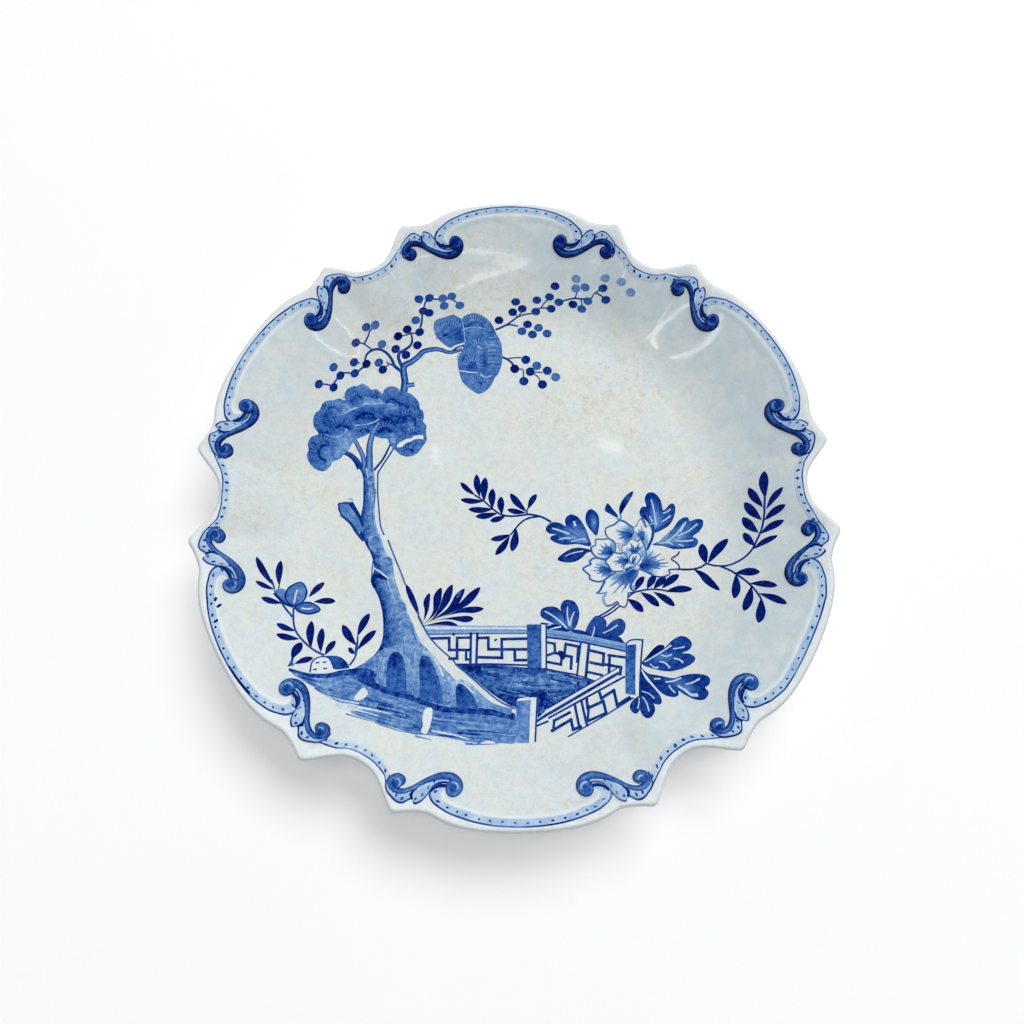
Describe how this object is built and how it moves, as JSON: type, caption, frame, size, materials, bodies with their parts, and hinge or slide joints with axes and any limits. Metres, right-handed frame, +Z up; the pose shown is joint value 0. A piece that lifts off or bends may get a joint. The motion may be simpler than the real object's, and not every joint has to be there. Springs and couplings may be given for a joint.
{
  "type": "compote dish",
  "caption": "Shallow lobed dessert dish of blue-and-white glazed earthenware on a low foot ring, with scrolled relief mouldings round its scalloped rim.",
  "frame": {"origin": "on the surface that the foot ring stands on, below the middle of the dish", "axes": "+Z up out of the well; +Y through the crown of the lobe above the printed picture; +X through the middle of a scallop, to the picture's right"},
  "size_m": [0.2234, 0.2286, 0.0315],
  "materials": {
    "white_glaze": "glossy bluish-white glaze with an underglaze cobalt print",
    "foot_glaze": "glazed ring wiped bare on its tread",
    "dark_cobalt": "dark cobalt under glossy glaze",
    "pale_cobalt": "pale cobalt wash under glossy glaze"
  },
  "bodies": {
    "root": {"dish_body": "white_glaze", "foot_ring": "foot_glaze", "lobe_border_1": "pale_cobalt", "scroll_1_left": "dark_cobalt", "leaf_1_left": "pale_cobalt", "scroll_1_right": "dark_cobalt", "leaf_1_right": "pale_cobalt", "lobe_border_2": "pale_cobalt", "scroll_2_left": "dark_cobalt", "leaf_2_left": "pale_cobalt", "scroll_2_right": "dark_cobalt", "leaf_2_right": "pale_cobalt", "lobe_border_3": "pale_cobalt", "scroll_3_left": "dark_cobalt", "leaf_3_left": "pale_cobalt", "scroll_3_right": "dark_cobalt", "leaf_3_right": "pale_cobalt", "lobe_border_4": "pale_cobalt", "scroll_4_left": "dark_cobalt", "leaf_4_left": "pale_cobalt", "scroll_4_right": "dark_cobalt", "leaf_4_right": "pale_cobalt", "lobe_border_5": "pale_cobalt", "scroll_5_left": "dark_cobalt", "leaf_5_left": "pale_cobalt", "scroll_5_right": "dark_cobalt", "leaf_5_right": "pale_cobalt", "lobe_border_6": "pale_cobalt", "scroll_6_left": "dark_cobalt", "leaf_6_left": "pale_cobalt", "scroll_6_right": "dark_cobalt", "leaf_6_right": "pale_cobalt"}
  },
  "joints": []
}
